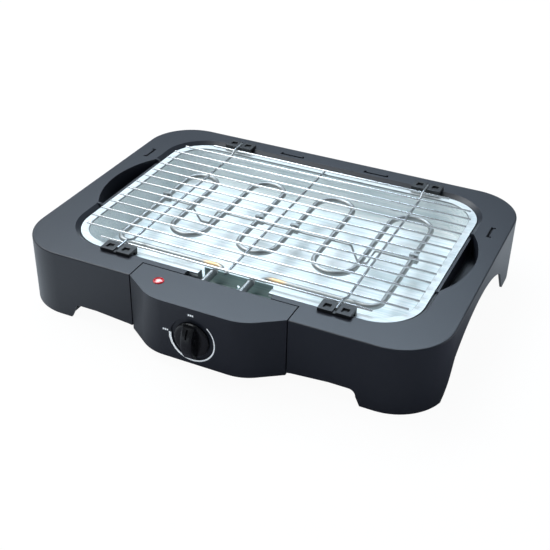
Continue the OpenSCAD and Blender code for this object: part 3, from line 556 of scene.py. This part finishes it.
# %% Long bars and weld beads
bar_sides = 16
end_rounding = 0.0004
bead_half = (0.0021, 0.0019, 0.0009)
bead_sink = bar_d * 0.45
bars = bmesh.new()
for index, half in enumerate(half_lengths):
    y = bars_low[1] + bar_d / 2 + index * bar_pitch
    turn = Matrix.Translation((0, y, bar_z)) @ Matrix.Rotation(math.radians(90), 4, "Y")
    bar = bmesh.ops.create_cone(bars, cap_ends=True, segments=bar_sides, radius1=bar_d / 2,
                                radius2=bar_d / 2, depth=2 * half, matrix=turn)
    ends = [e for v in bar["verts"] for e in v.link_edges
            if abs(e.verts[0].co.x - e.verts[1].co.x) < 1e-6]
    bmesh.ops.bevel(bars, geom=list(set(ends)), offset=end_rounding, segments=2, profile=0.5,
                    affect="EDGES", material=-1)
    for x in crossing_xs:
        wire_above = index in (0, bar_count - 1) and x != crossing_xs[1]
        bead_z = bar_z + (bead_sink if wire_above else -bead_sink)
        bead = Matrix.Translation((x, y, bead_z)) @ Matrix.Diagonal((*bead_half, 1))
        bmesh.ops.create_icosphere(bars, subdivisions=2, radius=1, matrix=bead)
piece("rack_long_bars", bars, rack_chrome, "rack", "rack_chrome", "rack_bars", smooth_below=50,
      weighted=False)

# %% [markdown]
# ## The knob
# The knob is a flat disc with a raised grip across it, both with soft edges, and a short groove at
# the grip's end that points at the scale. The disc is spun. The grip could be a cut from a cylinder,
# but Booleans leave thin slivers, so it starts as a grid laid over the arc of its front and is
# extruded back into the disc.
# %% Disc of the knob
knob_low, knob_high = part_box("knob")
knob_x = (knob_low[0] + knob_high[0]) / 2
knob_z = (knob_low[2] + knob_high[2]) / 2
knob_r = (knob_high[0] - knob_low[0]) / 2
knob_front, knob_back = knob_low[1], knob_high[1]
disc_front = knob_front + 0.011
disc_depth = knob_back - disc_front
bore_r, back_rounding = 0.0031, 0.0004
profile = [(0, 0), (0.0120, 0.0004), (0.0170, 0.0001), (0.0190, 0.0004), (0.0200, 0.0012),
           (knob_r, 0.0026), (knob_r, disc_depth - back_rounding),
           (knob_r - back_rounding, disc_depth), (bore_r, disc_depth)]
points = [(knob_x + r, disc_front + y, knob_z) for r, y in profile]
knob_mesh = spun(points, (0, 1, 0), (knob_x, 0, knob_z), steps=96)
bmesh.ops.remove_doubles(knob_mesh, verts=knob_mesh.verts, dist=0.00001)
bmesh.ops.holes_fill(knob_mesh, edges=[e for e in knob_mesh.edges if e.is_boundary], sides=0)
bmesh.ops.recalc_face_normals(knob_mesh, faces=knob_mesh.faces)
print("Knob radius:", round(knob_r, 4))

# %% Front of the grip
grip_half = 0.0065
grip_inset = 0.0012
grip_reach = knob_r - grip_inset
front_r = 0.030
edge_from, edge_drop = 0.8, 0.0011
column_places = [-1, -0.86, -0.6, -0.2, -0.16, 0.16, 0.2, 0.6, 0.86, 1]
grip = bmesh.new()
bmesh.ops.create_grid(grip, x_segments=9, y_segments=24, size=1)
columns = sorted({round(v.co.x, 4) for v in grip.verts})
for v in grip.verts:
    across = column_places[columns.index(round(v.co.x, 4))] * grip_half
    along = v.co.y * grip_reach
    bow = front_r - math.sqrt(front_r * front_r - along * along)
    rounding = edge_drop * max(0, abs(across) / grip_half - edge_from) / 0.2
    v.co = (knob_x + across, knob_front + bow + rounding, knob_z + along)
print("Grip, width and length:", 2 * grip_half, round(2 * grip_reach, 4))

# %% Pointer groove
groove_half, groove_start, groove_depth = 0.0009, 0.0075, 0.0022


def in_groove(face):
    centre = face.calc_center_median()
    beside = abs(centre.x - knob_x) < groove_half
    return beside and knob_z + groove_start < centre.z < knob_z + grip_reach - grip_inset


groove = [face for face in grip.faces if in_groove(face)]
sunk = bmesh.ops.extrude_face_region(grip, geom=groove)
bmesh.ops.translate(grip, vec=(0, groove_depth, 0), verts=moved_verts(sunk))
bmesh.ops.delete(grip, geom=groove, context="FACES")

# %% Walls of the grip
wall_flare, wall_overlap, at_edge = 1.1, 0.0008, 0.0001


def on_grip_rim(edge):
    at_end = max(abs(v.co.z - knob_z) for v in edge.verts) > grip_reach - at_edge
    at_side = min(abs(v.co.x - knob_x) for v in edge.verts) > grip_half - at_edge
    return edge.is_boundary and (at_end or at_side)


walls = bmesh.ops.extrude_edge_only(grip, edges=[e for e in grip.edges if on_grip_rim(e)])
for v in moved_verts(walls):
    v.co.y = disc_front + wall_overlap
    v.co.x = knob_x + (v.co.x - knob_x) * wall_flare
bmesh.ops.recalc_face_normals(grip, faces=grip.faces)
if sum(f.normal.y * f.calc_area() for f in grip.faces) > 0:
    bmesh.ops.reverse_faces(grip, faces=grip.faces)
grip_data = bpy.data.meshes.new("grip")
grip.to_mesh(grip_data)
grip.free()
knob_mesh.from_mesh(grip_data)
bpy.data.meshes.remove(grip_data)
piece("control_knob", knob_mesh, knob_black, "knob", "knob_black", "knob", smooth_below=40,
      weighted=False)

# %% [markdown]
# ## The printed scale
# The scale is white pad print: an arc that starts thin at the upper right and grows clockwise to
# full width at the left, and two short marks, at off and at full heat. It could be a mask in the
# box's finish, but a mesh keeps its edge sharp at any distance. Print has almost no thickness, so it
# stands 0.06 mm proud. The arc is one radial edge, spun, and its inner edge is pulled to its width.
# %% Arc
print_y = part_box("box_shell")[0][1] - 0.00006
arc_outer, arc_thin, arc_growth, arc_power = 0.0272, 0.0011, 0.0018, 1.3
arc_from, arc_to, arc_steps = 42, 275, 72


def on_dial(radius, degrees):
    angle = math.radians(degrees)
    return Vector((knob_x + radius * math.sin(angle), print_y, knob_z + radius * math.cos(angle)))


scale_mesh = bmesh.new()
radial = [scale_mesh.verts.new(on_dial(r, arc_from)) for r in (arc_outer, arc_outer - arc_thin)]
radial_edge = scale_mesh.edges.new(radial)
bmesh.ops.spin(scale_mesh, geom=radial + [radial_edge], cent=(knob_x, print_y, knob_z),
               axis=(0, 1, 0), angle=math.radians(arc_to - arc_from), steps=arc_steps)
for v in scale_mesh.verts:
    across, up = v.co.x - knob_x, v.co.z - knob_z
    turned = (math.degrees(math.atan2(across, up)) - arc_from + 1) % 360 - 1
    grown = arc_growth * max(0, turned / (arc_to - arc_from)) ** arc_power
    if math.hypot(across, up) < arc_outer - arc_thin / 2:
        v.co = on_dial(arc_outer - arc_thin - grown, arc_from + turned)
print("Arc quads:", len(scale_mesh.faces))

# %% Marks and thickness
mark_width, mark_height, mark_blocks, block_half = 0.0068, 0.0021, 3, 0.4
marks = [(-0.0005, 0.0302), (-0.0312, 0.0036)]
print_thickness = 0.00005


def mark(mesh, x, z):
    step = mark_width / mark_blocks
    for k in range(mark_blocks):
        centre = Vector((x - mark_width / 2 + step * (k + 0.5), print_y, z))
        upright = Matrix.Rotation(math.radians(90), 4, "X")
        size = Matrix.Diagonal((step * block_half, mark_height / 2, 1, 1))
        bmesh.ops.create_grid(mesh, x_segments=1, y_segments=1, size=1,
                              matrix=Matrix.Translation(centre) @ upright @ size)


for across, up in marks:
    mark(scale_mesh, knob_x + across, knob_z + up)
for face in scale_mesh.faces:
    face.normal_update()
    if face.normal.y > 0:
        face.normal_flip()
raised = bmesh.ops.extrude_face_region(scale_mesh, geom=scale_mesh.faces[:])
bmesh.ops.translate(scale_mesh, vec=(0, print_thickness, 0), verts=moved_verts(raised))
bmesh.ops.recalc_face_normals(scale_mesh, faces=scale_mesh.faces)
piece("dial_scale", scale_mesh, dial_print, "heater_unit", "charcoal_moulding", weighted=False)

# %% [markdown]
# ## The pilot lamp's lens
# The lens is a small clear red cap with a raised rim and a domed middle, pressed into the top of the
# box. A squashed sphere would lack the rim and the skirt, so it is one profile, spun about its axis.
# %% Lens
lens_r = (lens_high[0] - lens_low[0]) / 2
skirt_r, bore_r, skirt_end, roof = 0.0051, 0.0040, -0.0078, -0.0006
box_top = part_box("box_shell")[1][2]
lens_profile = [(0, 0.0011), (0.0016, 0.00105), (0.0030, 0.0008), (0.0041, 0.0003), (0.0044, 0.0002),
                (0.0047, 0.0010), (0.0050, 0.0013), (0.0056, 0.0012), (lens_r, 0.0006), (lens_r, 0.0),
                (skirt_r, 0.0), (skirt_r, skirt_end), (bore_r, skirt_end), (bore_r, roof), (0, roof)]
points = [(lens_x + r, lens_y, box_top + z) for r, z in lens_profile]
lens = spun(points, (0, 0, 1), (lens_x, lens_y, 0), steps=48)
bmesh.ops.remove_doubles(lens, verts=lens.verts, dist=0.00001)
bmesh.ops.recalc_face_normals(lens, faces=lens.faces)
piece("pilot_lens", lens, lens_red, "heater_unit", "lens_red", "lamp_lens", smooth_below=50,
      weighted=False)

# %% [markdown]
# ## Floor
# The photograph is a cut-out on white. A plain white floor would grey towards its edge, so this one
# glows white to the camera and keeps a soft shadow. Dark plastic must not mirror that glow at the
# front and right, so glossy rays see a darker floor there, and the glow only to the left and behind.
# %% White floor
floor_mesh = bmesh.new()
bmesh.ops.create_grid(floor_mesh, x_segments=1, y_segments=1, size=6)
floor_data = bpy.data.meshes.new("floor")
floor_mesh.to_mesh(floor_data)
floor_mesh.free()
floor = bpy.data.objects.new("floor", floor_data)
bpy.context.scene.collection.objects.link(floor)

# %% The floor's finish
glow_tint, glow_white = (0.8, 0.9, 1), (1, 1, 1)
white = Finish("white_floor")
seen = white.node("ShaderNodeLightPath", {}, {}, "Is Camera Ray")
glossy = white.node("ShaderNodeLightPath", {}, {}, "Is Glossy Ray")
to_the_left = band(white, coordinate(white, "X"), 0.0, -0.3)
to_the_back = band(white, coordinate(white, "Y"), -0.05, 0.3)
mirrored_glow = 0.03 + to_the_left * 0.75 + to_the_back * 0.8
glow_colour = mix(white, seen, glow_tint, glow_white)
glow = white.node("ShaderNodeEmission", {}, {"Color": glow_colour, "Strength": 1.0})
floor_colour = mix(white, glossy * (1 - mirrored_glow), (0.86, 0.865, 0.87), (0.11, 0.105, 0.14))
white.surface(Base_Color=floor_colour, Roughness=0.9)
lit_floor = Value(white, white.shader.outputs[0])
glow_share = seen * 0.95 + glossy * mirrored_glow
blend = white.node("ShaderNodeMixShader", {}, {0: glow_share, 1: lit_floor, 2: glow})
white.put(white.tree.nodes["Material Output"].inputs["Surface"], blend)
floor_data.materials.append(white.material)
print("Floor finish:", white.material.name)

# %% [markdown]
# ## World and lamps
# The studio is a white tent, seen as plain white, with a cooler and dimmer sky in the reflections, so
# that steel and chrome keep their greys. A single sun would cast hard shadows of the rack's wires.
# Five large soft lamps light the object instead, the strongest from the upper left and behind.
# %% World
world = bpy.data.worlds.new("studio")
bpy.context.scene.world = world
world.use_nodes = True
sky = Tree(world.node_tree)
sky_seen = sky.node("ShaderNodeLightPath", {}, {}, "Is Camera Ray")
sky_mirrored = sky.node("ShaderNodeLightPath", {}, {}, "Is Glossy Ray")
dome = sky.tree.nodes["Background"]
sky.put(dome.inputs["Strength"], 0.5 + sky_seen * 0.5 - sky_mirrored * 0.3)
sky.put(dome.inputs["Color"], mix(sky, sky_seen, glow_tint, glow_white))

# %% Lamps
def lamp(name, place, aim, size, power, tint=(0.94, 0.98, 1)):
    light = bpy.data.lights.new(name, "AREA")
    light.shape = "RECTANGLE"
    light.size, light.size_y = size
    light.energy = power
    light.color = tint
    holder = bpy.data.objects.new(name, light)
    holder.location = place
    holder.rotation_euler = (Vector(aim) - Vector(place)).to_track_quat("-Z", "Y").to_euler()
    bpy.context.scene.collection.objects.link(holder)
    print(f"{name}: {power} W")


lamp("softbox_above", (-0.95, 0.25, 1.8), (0, 0, 0), (1.4, 1.4), 24)
lamp("softbox_left", (-1.5, 0.1, 1.4), (-0.1, 0, 0.08), (0.9, 1.6), 13)
lamp("softbox_right", (1.7, 0.9, 0.7), (0.1, 0, 0.05), (1.0, 1.0), 5)
lamp("softbox_behind", (-0.62, 1.3, 1.66), (0, 0, 0.05), (1.5, 0.55), 25, tint=(0.7, 0.85, 1))
lamp("softbox_front", (-0.7, -1.08, 1.54), (0, 0, 0.05), (0.8, 0.8), 6)

# %% [markdown]
# ## Camera
# The photograph looks down on the object from the front, a little from its right. The camera's place
# could be guessed by eye. It comes from a fit to the object's straight edges in the photograph
# instead, as two angles, a small roll, a distance and a focal length in pixels.
# %% Camera
azimuth, elevation, roll = (math.radians(degrees) for degrees in (24.54, 32.67, 1.34))
target = Vector((-0.02702, 0.06815, -0.03101))
distance = 1.2559
focal_pixels, photo_pixels, sensor_width = 977.16, 550, 36
back = Vector((math.sin(azimuth) * math.cos(elevation), -math.cos(azimuth) * math.cos(elevation),
               math.sin(elevation)))
right = Vector((math.cos(azimuth), math.sin(azimuth), 0))
up = back.cross(right)
x_axis = right * math.cos(roll) + up * math.sin(roll)
y_axis = up * math.cos(roll) - right * math.sin(roll)
lens_data = bpy.data.cameras.new("camera")
lens_data.sensor_width = sensor_width
lens_data.lens = focal_pixels / photo_pixels * sensor_width
camera = bpy.data.objects.new("camera", lens_data)
turned = Matrix((x_axis, y_axis, back)).transposed().to_4x4()
camera.matrix_world = Matrix.Translation(target + back * distance) @ turned
bpy.context.scene.collection.objects.link(camera)
bpy.context.scene.camera = camera
bpy.context.scene.view_settings.view_transform = "Standard"
print("Focal length:", round(lens_data.lens, 2), "mm")
